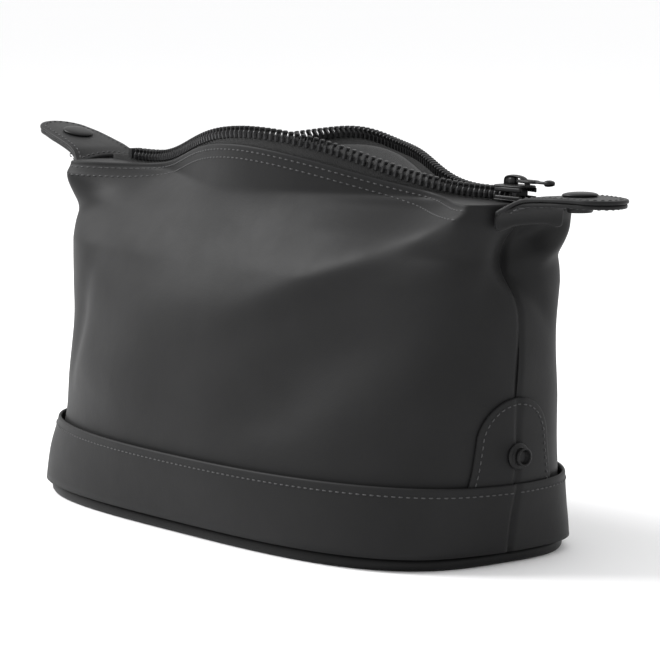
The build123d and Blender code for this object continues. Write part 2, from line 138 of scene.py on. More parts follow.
def station(z):
    """The outline's numbers at height z, by a smooth curve through the table."""
    index = 1
    while index < len(STATIONS) - 2 and z > STATIONS[index][0]:
        index += 1
    low, high = STATIONS[index - 1], STATIONS[index]
    before = STATIONS[max(index - 2, 0)]
    after = STATIONS[min(index + 1, len(STATIONS) - 1)]
    span = high[0] - low[0]
    t = max(0.0, min(1.0, (z - low[0]) / span))
    values = []
    for k in range(1, 5):
        slope_low = (high[k] - before[k]) / max(high[0] - before[0], 1e-6) * span
        slope_high = (after[k] - low[k]) / max(after[0] - low[0], 1e-6) * span
        h = t * t * (3 - 2 * t)
        values.append(
            low[k] * (1 - h) + high[k] * h
            + slope_low * (t - 2 * t * t + t**3) + slope_high * (t**3 - t * t)
        )
    values[3] = max(0.0, min(1.0, values[3]))
    return values


def bell(x, reach):
    return cos(pi * x / (2 * reach)) ** 2 if abs(x) < reach else 0.0


def rim(x):
    """Height of the turned hem."""
    return RIM_END + RIM_RISE * bell(x, RIM_REACH)


def wing_at(x, z):
    """How far the top corners spread beyond the closed mouth."""
    return WING * ease(abs(x), WING_START, 146.0) * ease(z, WING_LOW, WING_HIGH)


def outline(t, z, wing):
    """Plain outer surface: (x, distance from the middle plane). t runs 0..1 from -X to +X."""
    length, width, square, mouth = station(z)
    u = -cos(pi * t)
    x = u * length
    body = max(0.0, 1 - abs(u) ** square) ** (1 / square)
    spread = (1 - mouth) * body + mouth * bell(x, MOUTH_REACH)
    closing = sqrt(max(0.0, 1 - abs(u) ** 70))
    return x, (SEAM_HALF + (width - SEAM_HALF) * spread + wing * wing_at(x, z)) * closing


def relief(side, x, y, z):
    """How far the cloth stands out from the plain surface."""
    out = 0.0
    for face, fx, fz, angle, long, broad, height in FOLDS:
        if face == side:
            c, s = cos(radians(angle)), sin(radians(angle))
            along = ((x - fx) * c + (z - fz) * s) / long
            across = ((z - fz) * c - (x - fx) * s) / broad
            out += height * exp(-along * along - across * across)
    out *= ease(z, 34.0, 58.0) * (1 - ease(z, RIM_END - 14.0, RIM_END - 2.0))
    ripple = noise.noise(Vector((x * 0.022, y * 0.022 + 7.0 * side, z * 0.03)))
    return out + 1.3 * ripple * ease(z, 36.0, 70.0) * (1 - ease(z, 140.0, 156.0))


def end_relief(y, z):
    """How far an end wall stands out from its plain surface."""
    out = 0.0
    for fy, fz, angle, long, broad, height in END_FOLDS:
        c, s = cos(radians(angle)), sin(radians(angle))
        along = ((y - fy) * c + (z - fz) * s) / long
        across = ((z - fz) * c - (y - fy) * s) / broad
        out += height * exp(-along * along - across * across)
    return out * (1 - ease(z, RIM_END - 10.0, RIM_END - 2.0))


def skin(side, t, z, inset=0.0, wing=1.0, folds=True):
    """Point on the bag's wall, moved in by inset. side is -1 for the front, 1 for the rear."""
    step = 1e-4
    t = max(0.0, min(1.0, t))
    x, y = outline(t, z, wing)
    x0, y0 = outline(max(0.0, t - step), z, wing)
    x1, y1 = outline(min(1.0, t + step), z, wing)
    run, rise = x1 - x0, y1 - y0
    reach = hypot(run, rise) or 1.0
    nx, ny = -rise / reach, run / reach
    away = -inset
    if folds:
        away += relief(side, x, side * y, z)
    x += nx * away
    y += ny * away
    if folds:
        near = exp(-((y / 9.0) ** 2)) * ease(abs(x), 90.0, 125.0)
        fold = bump(z, PINCH_Z, PINCH_SPAN)
        pull_in = PINCH_DEPTH * fold * near + 1.5 * fold * exp(-((y / 1.6) ** 2))
        x += (end_relief(side * y, z) * ease(abs(x), 118.0, 138.0) - pull_in) * (1 if x > 0 else -1)
    x -= 1.1 * exp(-((y / 1.5) ** 2)) * ease(abs(x), 100.0, 120.0) * (1 if x > 0 else -1)
    y = side * max(y, 0.05)
    if folds:
        sway = bump(z, PINCH_Z, PINCH_SPAN * 1.3) * exp(-((y / 26.0) ** 2)) * ease(abs(x), 90.0, 125.0)
        y -= PINCH_SWAY * sway
    return Vector((x + FOOT_LEAN * (1 - ease(z, 18.0, 42.0)), y, z))


def spread_ends(s, crowd=0.88):
    """Even steps turned into steps that crowd towards both ends, where the corners and seams are."""
    return s - crowd * sin(2 * pi * s) / (2 * pi)


def column_for(y, z):
    """The t of the wall's right half that lies y from the middle plane."""
    low, high = 0.5, 1.0
    for _ in range(26):
        middle = (low + high) / 2
        if outline(middle, z, 1.0)[1] > abs(y):
            low = middle
        else:
            high = middle
    return (low + high) / 2


# ---------------------------------------------------------------- mesh helpers
def mesh_piece(name, points, faces, material):
    mesh = bpy.data.meshes.new(name)
    mesh.from_pydata([tuple(Vector(p) * MM) for p in points], [], faces)
    mesh.update()
    mesh.polygons.foreach_set("use_smooth", [True] * len(mesh.polygons))
    mesh.materials.append(material)
    obj = bpy.data.objects.new(name, mesh)
    bpy.context.scene.collection.objects.link(obj)
    return obj


def face_out(obj):
    """Turns all faces of a closed mesh outwards."""
    work = bmesh.new()
    work.from_mesh(obj.data)
    bmesh.ops.recalc_face_normals(work, faces=work.faces)
    work.to_mesh(obj.data)
    work.free()
    return obj


def settle(obj, body, slot, *nodes):
    """The piece rides on a body and stands for CAD nodes, which it hides; slot is not used."""
    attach(obj, body)
    if nodes:
        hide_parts(*nodes)
    return obj


def closed_strip(name, loops, material, round_trip=False):
    """Closed surface through equal loops; a loop's points j and -1-j face each other across the sheet."""
    size = len(loops[0])
    points = [p for loop in loops for p in loop]
    faces = []
    count = len(loops)
    for i in range(count if round_trip else count - 1):
        here, there = i * size, (i + 1) % count * size
        for j in range(size):
            k = (j + 1) % size
            faces.append((here + j, here + k, there + k, there + j))
    if not round_trip:
        last = (count - 1) * size
        for j in range(size // 2 - 1):
            faces.append((j, size - 1 - j, size - 2 - j, j + 1))
            faces.append((last + j, last + j + 1, last + size - 2 - j, last + size - 1 - j))
    return face_out(mesh_piece(name, points, faces, material))


def rounded(thick, steps=4):
    """(inset, extra height) round the top edge of a sheet, from its outer to its inner face."""
    half = thick / 2
    return [(half - half * cos(pi * k / steps), half * sin(pi * k / steps)) for k in range(1, steps)]


def wall(name, side, inset, thick, low, high, material, columns, rows,
         wing=1.0, folds=True, ends=1.0, flap=False):
    """Half of the bag's wall as a closed sheet between the heights low(x) and high(x)."""
    loops = []
    for i in range(columns + 1):
        t = 0.5 + (spread_ends(i / columns) - 0.5) * ends
        x_here = outline(t, 150.0, wing)[0]
        bottom, top = low(x_here), high(x_here) - thick / 2
        heights = [bottom + (top - bottom) * ease_rows(k / rows) for k in range(rows + 1)]
        outer = [skin(side, t, z, inset, wing, folds) for z in heights]
        crown = [skin(side, t, top, inset + d, wing, folds) + Vector((0, 0, h)) for d, h in rounded(thick)]
        inner = [skin(side, t, z, inset + thick, wing, folds) for z in reversed(heights)]
        if flap:
            edge = inner[0]
            reach = max(0.0, min(wing_at(x_here, top), abs(edge.y) - 2.6))
            shift = Vector((0, -side * reach, 0))
            folded = [crown[-1].copy(), crown[-1] + shift * 0.5, crown[-1] + shift]
            folded[0].z += 0.05
            under = [p - Vector((0, 0, thick * 0.9)) for p in reversed(folded)]
            crown = crown[:-1] + folded + under
            if len(crown) % 2:
                crown.append((crown[-1] + inner[0]) / 2)
        loops.append(outer + crown + inner)
    return closed_strip(name, loops, material)


def ease_rows(s):
    """Rows crowd towards the hem."""
    return s + 0.75 * s * (1 - s) * (1 - s * 0.2)


def resample(points, count, closed=False):
    """A smooth curve through the points, as evenly spaced points."""
    dense = []
    size = len(points)
    for i in range(size if closed else size - 1):
        def pick(k):
            return Vector(points[k % size] if closed else points[max(0, min(size - 1, k))])

        p0, p1, p2, p3 = (pick(i + k) for k in (-1, 0, 1, 2))
        for k in range(24):
            t = k / 24
            dense.append(
                0.5 * ((2 * p1) + (p2 - p0) * t + (2 * p0 - 5 * p1 + 4 * p2 - p3) * t * t
                       + (3 * p1 - p0 - 3 * p2 + p3) * t**3)
            )
    dense.append(dense[0].copy() if closed else Vector(points[-1]))
    lengths = [0.0]
    for a, b in zip(dense, dense[1:]):
        lengths.append(lengths[-1] + (b - a).length)
    steps = count if closed else count - 1
    spots, k = [], 0
    for i in range(count):
        want = lengths[-1] * i / steps
        while k < len(lengths) - 2 and lengths[k + 1] < want:
            k += 1
        share = (want - lengths[k]) / max(lengths[k + 1] - lengths[k], 1e-9)
        spots.append(dense[k].lerp(dense[k + 1], min(1.0, share)))
    return spots


def plate(name, border, centre, place, thick, material, edge=0.8, rings=16):
    """Flat piece with soft edges: border is a closed loop of (a, b), place(a, b, h) puts it in space."""
    centre = Vector(centre)
    steps = 6
    tracks = [(k / rings, 0.0, thick) for k in range(1, rings)]
    for k in range(steps + 1):
        angle = pi * k / steps
        tracks.append((1.0, edge * (1 - sin(angle)), thick * (1 + cos(angle)) / 2))
    tracks += [(k / rings, 0.0, 0.0) for k in range(rings - 1, 0, -1)]
    points, faces = [place(centre.x, centre.y, thick)], []
    size = len(border)
    for share, back, height in tracks:
        for spot in border:
            ray = Vector(spot) - centre
            pulled = share * (1 - back / ray.length) if share == 1.0 else share * (1 - edge / ray.length)
            at = centre + ray * pulled
            points.append(place(at.x, at.y, height))
    points.append(place(centre.x, centre.y, 0.0))
    for j in range(size):
        faces.append((0, 1 + j, 1 + (j + 1) % size))
    for i in range(len(tracks) - 1):
        for j in range(size):
            k = (j + 1) % size
            here, there = 1 + i * size, 1 + (i + 1) * size
            faces.append((here + j, there + j, there + k, here + k))
    last = 1 + (len(tracks) - 1) * size
    for j in range(size):
        faces.append((len(points) - 1, last + (j + 1) % size, last + j))
    return face_out(mesh_piece(name, points, faces, material))


def lathe(name, profile, origin, axis, material, sectors=48):
    """Turned piece: profile is a list of (distance along the axis, radius)."""
    axis = Vector(axis).normalized()
    side = axis.orthogonal().normalized()
    up = axis.cross(side)
    origin = Vector(origin)
    points, faces = [], []
    for along, radius in profile:
        for k in range(sectors):
            angle = 2 * pi * k / sectors
            ray = (side * cos(angle) + up * sin(angle)) * max(radius, 0.01)
            points.append(origin + axis * along + ray)
    for i in range(len(profile) - 1):
        for k in range(sectors):
            j = (k + 1) % sectors
            faces.append((i * sectors + k, i * sectors + j, (i + 1) * sectors + j, (i + 1) * sectors + k))
    faces.append(tuple(range(sectors)))
    faces.append(tuple(reversed(range((len(profile) - 1) * sectors, len(profile) * sectors))))
    return face_out(mesh_piece(name, points, faces, material))


def bar(name, path, width, depth, material, across=(0, 1, 0), closed=False):
    """Bar with eased corners swept along path; width lies along across, and both may change along it."""
    across = Vector(across).normalized()
    loops = []
    count = len(path)
    for i, here in enumerate(path):
        ahead = path[(i + 1) % count] if closed else path[min(i + 1, count - 1)]
        behind = path[i - 1] if closed else path[max(i - 1, 0)]
        along = (ahead - behind).normalized()
        up = along.cross(across).normalized()
        w = width[i] if isinstance(width, list) else width
        d = depth[i] if isinstance(depth, list) else depth
        ring = []
        for k in range(12):
            angle = 2 * pi * (k + 0.5) / 12
            c, s = cos(angle), sin(angle)
            squash = (abs(c) ** 4 + abs(s) ** 4) ** 0.25
            ring.append(here + across * (w / 2 * c / squash) + up * (d / 2 * s / squash))
        loops.append(ring)
    return closed_strip(name, loops, material, round_trip=closed)


def stitch_row(name, path, material, pitch=3.2, length=2.2, radius=0.27):
    """A row of thread stitches along path, a list of (point, normal)."""
    points, faces = [], []
    walked, due = 0.0, pitch * 0.5
    for (a, na), (b, nb) in zip(path, path[1:]):
        run = (b - a).length
        while walked + run >= due:
            share = (due - walked) / run
            centre, normal = a.lerp(b, share), na.lerp(nb, share).normalized()
            along = (b - a).normalized()
            across = along.cross(normal).normalized()
            first = len(points)
            for reach, size, lift in ((-0.5, 0.45, -0.32), (-0.3, 1.0, 0.05), (0.0, 1.08, 0.16),
                                      (0.3, 1.0, 0.05), (0.5, 0.45, -0.32)):
                for k in range(6):
                    angle = 2 * pi * k / 6
                    ray = across * cos(angle) * 1.15 + normal * sin(angle)
                    points.append(centre + along * (reach * length) + normal * lift + ray * (radius * size))
            for i in range(4):
                for k in range(6):
                    j = (k + 1) % 6
                    here, there = first + i * 6, first + (i + 1) * 6
                    faces.append((here + k, here + j, there + j, there + k))
            faces.append(tuple(first + k for k in range(6)))
            faces.append(tuple(first + 24 + k for k in reversed(range(6))))
            due += pitch
        walked += run
    return face_out(mesh_piece(name, points, faces, material))


# ---------------------------------------------------------------- materials
def shader_of(name):
    material = bpy.data.materials.new(name)
    material.use_nodes = True
    return material, material.node_tree, material.node_tree.nodes["Principled BSDF"]


def add_node(tree, kind, **values):
    node = tree.nodes.new(kind)
    for key, value in values.items():
        if key.startswith("in_"):
            node.inputs[key[3:].replace("_", " ")].default_value = value
        else:
            setattr(node, key, value)
    return node


def object_coordinates(tree):
    return add_node(tree, "ShaderNodeTexCoord").outputs["Object"]


def noise_field(tree, scale, detail=4.0, roughness=0.55):
    field = add_node(tree, "ShaderNodeTexNoise", in_Scale=scale, in_Detail=detail, in_Roughness=roughness)
    tree.links.new(object_coordinates(tree), field.inputs["Vector"])
    return field.outputs["Fac"]


def two_tones(tree, shader, field, dark, light, low=0.35, high=0.65):
    ramp = add_node(tree, "ShaderNodeValToRGB")
    ramp.color_ramp.elements[0].position = low
    ramp.color_ramp.elements[1].position = high
    ramp.color_ramp.elements[0].color = (*dark, 1)
    ramp.color_ramp.elements[1].color = (*light, 1)
    tree.links.new(field, ramp.inputs["Fac"])
    tree.links.new(ramp.outputs["Color"], shader.inputs["Base Color"])
    return ramp


def rough_range(tree, shader, field, low, high):
    spread = add_node(tree, "ShaderNodeMapRange")
    spread.inputs["To Min"].default_value = low
    spread.inputs["To Max"].default_value = high
    tree.links.new(field, spread.inputs["Value"])
    tree.links.new(spread.outputs["Result"], shader.inputs["Roughness"])


def add_bump(tree, shader, fields):
    """Chains bumps: each field is (height output, strength, distance in metres)."""
    normal = None
    for height, strength, distance in fields:
        node = add_node(tree, "ShaderNodeBump", in_Strength=strength, in_Distance=distance)
        tree.links.new(height, node.inputs["Height"])
        if normal is not None:
            tree.links.new(normal, node.inputs["Normal"])
        normal = node.outputs["Normal"]
    tree.links.new(normal, shader.inputs["Normal"])


def coated_fabric(name, dark, light, rough=(0.5, 0.62), grain=1500.0):
    """Matt rubber-coated cloth: fine pebble grain and faint mottling."""
    material, tree, shader = shader_of(name)
    mottling = noise_field(tree, 34.0)
    two_tones(tree, shader, mottling, dark, light)
    rough_range(tree, shader, noise_field(tree, 60.0), *rough)
    pebbles = add_node(tree, "ShaderNodeTexVoronoi", in_Scale=grain)
    tree.links.new(object_coordinates(tree), pebbles.inputs["Vector"])
    add_bump(tree, shader, [
        (pebbles.outputs["Distance"], 0.10, 0.0002),
        (noise_field(tree, 420.0), 0.12, 0.0003),
        (noise_field(tree, 45.0, 2.0), 0.18, 0.0012),
    ])
    shader.inputs["Specular IOR Level"].default_value = 0.15
    shader.inputs["Sheen Weight"].default_value = 0.02
    shader.inputs["Sheen Roughness"].default_value = 0.45
    return material


def woven(name, dark, light, pitch, strength, rough=0.8, sheen=0.2):
    """Plain weave: crossing threads of the given pitch in metres."""
    material, tree, shader = shader_of(name)
    place = object_coordinates(tree)
    split = add_node(tree, "ShaderNodeSeparateXYZ")
    tree.links.new(place, split.inputs["Vector"])
    waves = []
    for axis in ("X", "Y", "Z"):
        turn = add_node(tree, "ShaderNodeMath", operation="MULTIPLY")
        turn.inputs[1].default_value = 2 * pi / pitch
        tree.links.new(split.outputs[axis], turn.inputs[0])
        wave = add_node(tree, "ShaderNodeMath", operation="SINE")
        tree.links.new(turn.outputs[0], wave.inputs[0])
        waves.append(wave.outputs[0])
    first = add_node(tree, "ShaderNodeMath", operation="ADD")
    tree.links.new(waves[0], first.inputs[0])
    tree.links.new(waves[1], first.inputs[1])
    both = add_node(tree, "ShaderNodeMath", operation="MULTIPLY")
    tree.links.new(first.outputs[0], both.inputs[0])
    tree.links.new(waves[2], both.inputs[1])
    two_tones(tree, shader, noise_field(tree, 500.0, 6.0), dark, light)
    add_bump(tree, shader, [(both.outputs[0], strength, pitch * 0.25), (noise_field(tree, 90.0), 0.3, 0.001)])
    shader.inputs["Roughness"].default_value = rough
    shader.inputs["Sheen Weight"].default_value = sheen
    return material


def dark_metal(name, dark, light, rough, metallic=1.0, coat=0.0):
    """Blackened metal with fine scuffs."""
    material, tree, shader = shader_of(name)
    scuffs = noise_field(tree, 700.0, 6.0, 0.7)
    two_tones(tree, shader, scuffs, dark, light)
    rough_range(tree, shader, scuffs, *rough)
    add_bump(tree, shader, [(scuffs, 0.12, 0.00008)])
    shader.inputs["Metallic"].default_value = metallic
    shader.inputs["Specular IOR Level"].default_value = 0.2
    shader.inputs["Coat Weight"].default_value = coat
    return material


def thread(name, dark, light):
    """Twisted polyester thread."""
    material, tree, shader = shader_of(name)
    twist = add_node(tree, "ShaderNodeTexWave", in_Scale=900.0, in_Distortion=1.5)
    twist.bands_direction = "DIAGONAL"
    tree.links.new(object_coordinates(tree), twist.inputs["Vector"])
    two_tones(tree, shader, twist.outputs["Fac"], dark, light, 0.2, 0.8)
    add_bump(tree, shader, [(twist.outputs["Fac"], 0.5, 0.0001)])
    shader.inputs["Roughness"].default_value = 0.6
    return material


def grey(value, warm=0.0):
    return (value * (1 + warm), value, value * (1 + 0.03 - warm))


SHELL = coated_fabric("shell_coated", grey(0.0088), grey(0.0104))
BAND_CLOTH = coated_fabric("band_coated", grey(0.0088), grey(0.0104))
TAB_CLOTH = coated_fabric("tab_coated", grey(0.0088), grey(0.0110), rough=(0.42, 0.55))
BASE_CLOTH = coated_fabric("base_coated", grey(0.0045), grey(0.0060), rough=(0.45, 0.6), grain=900.0)
LINING_CLOTH = woven("lining_weave", grey(0.012), grey(0.018), 0.00045, 0.5, rough=0.62, sheen=0.1)
TAPE_CLOTH = woven("zip_tape_weave", grey(0.004), grey(0.007), 0.0006, 0.8, sheen=0.05)
BOARD = coated_fabric("base_board_fibre", grey(0.06), grey(0.08), rough=(0.7, 0.85), grain=500.0)
TEETH_METAL = dark_metal("zip_teeth_metal", grey(0.016), grey(0.034), (0.32, 0.48), metallic=0.5)
SLIDER_METAL = dark_metal("slider_black_metal", grey(0.006), grey(0.011), (0.38, 0.5),
                          metallic=0.2, coat=0.04)
SNAP_METAL = dark_metal("snap_black_metal", grey(0.006), grey(0.010), (0.38, 0.5), metallic=0.2, coat=0.04)
THREAD = thread("stitch_thread", grey(0.022), grey(0.050))


# ---------------------------------------------------------------- panels, band, base and lining
LINING_TOP_DROP, LINING_ENDS = 3.0, 0.985  # lining below the hem; share of the wall's run that it covers
HEM_STITCH_DROPS = {"upper": 2.6, "lower": 6.2}  # rows of stitches below the hem
HEM_STITCH_START, BAND_STITCH_START, BAND_STITCH_DROP = 0.09, 0.004, 3.8
FLOOR_CUT = 7.5  # floor lining inside the base's edge


def lining_top(x):
    return rim(x) - LINING_TOP_DROP


def flat(height):
    return lambda x: height


def build_walls():
    for side, word in ((-1, "front"), (1, "rear")):
        shell = wall(f"{word}_shell", side, 0.0, PANEL, flat(WALL_BOTTOM), rim, SHELL, 240, 84, flap=True)
        settle(shell, "bag", "shell", f"{word}_panel")
        band = wall(f"{word}_band_cover", side, BAND_INSET, BAND, flat(WALL_BOTTOM), flat(BAND_HEIGHT),
                    BAND_CLOTH, 220, 16, folds=False)
        settle(band, "bag", "band", f"{word}_base_band")
        lining = wall(f"{word}_lining_cloth", side, LINING_INSET, LINING, flat(FLOOR_Z), lining_top,
                      LINING_CLOTH, 150, 40, ends=LINING_ENDS)
        settle(lining, "bag", "lining", f"{word}_lining")


def foot_border(length, width, count=200):
    """Evenly turned points of the base's squared oval."""
    loop = []
    for k in range(count):
        angle = 2 * pi * k / count
        c, s = cos(angle), sin(angle)
        radius = (abs(c / length) ** FOOT_SQUARE + abs(s / width) ** FOOT_SQUARE) ** (-1 / FOOT_SQUARE)
        loop.append((c * radius, s * radius))
    return loop


def build_base():
    def on_ground(a, b, h):
        return Vector((a + FOOT_LEAN, b, h))

    def on_floor(a, b, h):
        return Vector((a + FOOT_LEAN, b, FLOOR_Z + h))

    border = foot_border(FOOT_LENGTH, FOOT_WIDTH)
    base = plate("base_cover", border, (0, 0), on_ground, FOOT_HEIGHT, BASE_CLOTH, edge=2.2)
    settle(base, "bag", "base", "base_panel")
    border = foot_border(FOOT_LENGTH - FLOOR_CUT, FOOT_WIDTH - FLOOR_CUT)
    floor = plate("floor_lining_cloth", border, (0, 0), on_floor, LINING, LINING_CLOTH, edge=0.35)
    settle(floor, "bag", "lining", "floor_lining")


def wall_normal(side, t, z, inset, wing=1.0):
    here = skin(side, t, z, inset, wing)
    along = skin(side, min(t + 0.003, 1.0), z, inset, wing) - skin(side, max(t - 0.003, 0.0), z, inset, wing)
    normal = along.cross(Vector((0, 0, 1))).normalized()
    if normal.dot(Vector((here.x * 0.3, here.y, 0))) < 0:
        normal.negate()
    return normal


def wall_path(side, height, inset, start=0.0, end=1.0, steps=500, folds=True):
    """Points and normals along the wall at height(x), from t = start to t = end."""
    path = []
    for k in range(steps + 1):
        t = start + (end - start) * k / steps
        x = outline(t, 150.0, 1.0)[0]
        z = height(x)
        spot = skin(side, t, z, inset, folds=folds)
        path.append((spot, wall_normal(side, t, z, inset)))
    return path


def build_wall_stitches():
    for side, word in ((-1, "front"), (1, "rear")):
        for row, drop in HEM_STITCH_DROPS.items():
            path = wall_path(side, lambda x: rim(x) - drop, 0.0, HEM_STITCH_START, 1 - HEM_STITCH_START)
            settle(stitch_row(f"{word}_hem_stitches_{row}", path, THREAD), "bag", "shell")
        path = wall_path(side, flat(BAND_HEIGHT - BAND_STITCH_DROP), BAND_INSET,
                         BAND_STITCH_START, 1 - BAND_STITCH_START, folds=False)
        settle(stitch_row(f"{word}_band_stitches", path, THREAD), "bag", "band")


# ---------------------------------------------------------------- inner pocket
POCKET_HALF, POCKET_LOW, POCKET_TOP = 62.0, 42.0, 112.0


def build_pocket():
    border = []
    for k in range(160):
        angle = 2 * pi * k / 160
        c, s = cos(angle), sin(angle)
        radius = (abs(c) ** 12 + abs(s) ** 12) ** (-1 / 12)
        border.append((c * radius * POCKET_HALF, s * radius * (POCKET_TOP - POCKET_LOW) / 2))
    middle = (POCKET_LOW + POCKET_TOP) / 2

    def place(a, b, h):
        t = asin(max(-1.0, min(1.0, a / 140.0))) / pi + 0.5
        return skin(1, t, middle + b, POCKET_INSET + LINING - h)

    settle(plate("slip_pocket_cloth", border, (0, 0), place, LINING, LINING_CLOTH, edge=0.35, rings=30),
           "bag", "lining", "slip_pocket")


# ---------------------------------------------------------------- end patches and studs
PATCH_TOP, PATCH_ROOT_HALF, PATCH_FOOT = 73.0, 24.0, 24.0


def patch_border(cut, count=140):
    """Arch of the end patch, cut millimetres inside its edge."""
    half, top = PATCH_ROOT_HALF - cut, PATCH_TOP - cut
    radius = 20.3 - cut
    centre = top - radius
    loop = [(-half - 1.5, PATCH_FOOT), (-half, PATCH_FOOT + 8), (-radius - 1.2, centre - 8)]
    for k in range(13):
        angle = pi - pi * k / 12
        loop.append((radius * cos(angle), centre + radius * sin(angle)))
    loop += [(radius + 1.2, centre - 8), (half, PATCH_FOOT + 8), (half + 1.5, PATCH_FOOT), (0, PATCH_FOOT)]
    return [(p.x, p.y) for p in resample([(a, b, 0) for a, b in loop], count, closed=True)]


def on_end(side, a, z, out):
    """Point of the end wall, a from its middle and out from its surface."""
    spot = skin(-1 if a < 0 else 1, column_for(a, z), z, -out)
    return Vector((side * spot.x, spot.y, spot.z))


def build_patch(word):
    side = SIDE[word]

    def place(a, b, h):
        return on_end(side, a, b, PATCH_OFFSET + h)

    cover = plate(f"{word}_patch_cover", patch_border(0.0), (0, 50), place, PATCH, SHELL, edge=0.6, rings=22)
    settle(cover, "bag", "band", f"{word}_end_patch")
    path = []
    border = [p for p in patch_border(2.8, 400) if p[1] > BAND_HEIGHT - 4]

    def gap_before(k):
        return hypot(border[k][0] - border[k - 1][0], border[k][1] - border[k - 1][1])

    start = max(range(len(border)), key=gap_before)  # the row starts after the stretch hidden by the band
    for a, b in border[start:] + border[:start]:
        low, high = place(a, b, PATCH), place(a, b, PATCH + 1.0)
        path.append((low, (high - low).normalized()))
    settle(stitch_row(f"{word}_patch_stitches", path, THREAD), "bag", "band")


def build_stud(word):
    side = SIDE[word]
    face = station(STUD_Z)[0] + PATCH_OFFSET + PATCH + 0.1
    profile = [(0, 2.1), (0, 5.6), (0.3, 5.8), (0.7, 5.7), (1.1, 5.1), (1.3, 4.3), (1.5, 3.85), (2.8, 3.7),
               (3.3, 4.0), (3.8, 4.15), (4.3, 4.0), (4.6, 3.6), (4.55, 3.25), (4.2, 3.05), (1.8, 3.0),
               (1.75, 2.1)]
    stud = lathe(f"{word}_stud_turned", profile, (side * face, 0, STUD_Z), (side, 0, 0), SNAP_METAL, 64)
    settle(stud, "bag", "snap_metal", f"{word}_snap_stud")


# ---------------------------------------------------------------- zip
def row_sag(side, x):
    """How far a zip row lies above or below an even curve, as the soft mouth hangs."""
    if side < 0:
        return 2.2 * bump(x, 48.0, 34.0) - 1.6 * bump(x, -40.0, 36.0)
    return -4.6 * bump(x, 22.0, 30.0) - 2.0 * bump(x, -30.0, 26.0)


def zip_line(side, x):
    """Top edge of a tape."""
    y = SEAM_HALF - TAPE_INSET - TAPE / 2 + MOUTH_HALF_GAP * bell(x, MOUTH_REACH)
    rise = TAPE_END_RISE + (TAPE_RISE - TAPE_END_RISE) * bell(x, RIM_REACH)
    return Vector((x, side * y, rim(x) + rise + row_sag(side, x)))


def build_tapes():
    for side, word in ((-1, "front"), (1, "rear")):
        loops = []
        columns, rows = 200, 10
        for i in range(columns + 1):
            x = -TAPE_END + 2 * TAPE_END * i / columns
            top = zip_line(side, x)
            loop = []
            lean = 0.6 * noise.noise(Vector((x * 0.05, side * 3.0, 0)))
            for face in (1, -1):
                for k in range(rows + 1):
                    share = k / rows if face == 1 else 1 - k / rows
                    depth = TAPE_DROP * (1 - 0.6 * ease(abs(x), 122.0, 136.0))
                    drop = (top.z - rim(x) + depth) * (1 - share)
                    swell = lean * sin(pi * share)
                    offset = side * (face * TAPE / 2 + swell)
                    loop.append(top + Vector((0, offset, -drop)))
            loops.append(loop)
        tape = closed_strip(f"{word}_tape_weave", loops, TAPE_CLOTH)
        settle(tape, "bag", "zip_tape", f"{word}_zip_tape")


# height, half width along the tape, outer face, inner face
TOOTH_RINGS = (
    (-2.1, 0.55, -1.0, 1.0), (-1.7, 1.0, -1.5, 1.4), (0.1, 1.12, -1.75, 1.6), (0.9, 0.8, -1.6, 1.7),
    (1.5, 0.52, -1.1, 2.3), (2.0, 0.55, -1.0, 2.7), (2.5, 0.82, -1.1, 2.75), (3.0, 0.74, -1.0, 2.5),
    (3.3, 0.4, -0.6, 1.9),
)


def build_teeth():
    for side, word in ((-1, "front"), (1, "rear")):
        points, faces = [], []
        walked, due, x = 0.0, TOOTH_PITCH * (0.5 if side < 0 else 1.0), CHAIN_LEFT
        here = zip_line(side, x)
        while x < CHAIN_RIGHT:
            x += 0.05
            ahead = zip_line(side, x)
            walked += (ahead - here).length
            if walked >= due:
                due += TOOTH_PITCH
                along = (ahead - here).normalized()
                across = Vector((0, 0, 1)).cross(along).normalized() * -side
                up = along.cross(across) * (1 if along.cross(across).z > 0 else -1)
                first = len(points)
                for height, half, outer, inner in TOOTH_RINGS:
                    middle, reach = (outer + inner) / 2, (inner - outer) / 2
                    for k in range(8):
                        angle = 2 * pi * (k + 0.5) / 8
                        points.append(ahead + along * (half * cos(angle) * 1.08)
                                      + across * (middle + reach * sin(angle) * 1.08) + up * height)
                for i in range(len(TOOTH_RINGS) - 1):
                    for k in range(8):
                        j = (k + 1) % 8
                        low, high = first + i * 8, first + (i + 1) * 8
                        faces.append((low + k, low + j, high + j, high + k))
                faces.append(tuple(first + k for k in range(8)))
                faces.append(tuple(len(points) - 8 + k for k in reversed(range(8))))
            here = ahead
        teeth = face_out(mesh_piece(f"{word}_teeth_row", points, faces, TEETH_METAL))
        teeth.data.polygons.foreach_set("use_smooth", [False] * len(teeth.data.polygons))
        settle(teeth, "bag", "zip_metal", f"{word}_zip_teeth")


def join(name, objects):
    """Joins pieces into one object."""
    with bpy.context.temp_override(active_object=objects[0], selected_editable_objects=objects):
        bpy.ops.object.join()
    objects[0].name = name
    return objects[0]


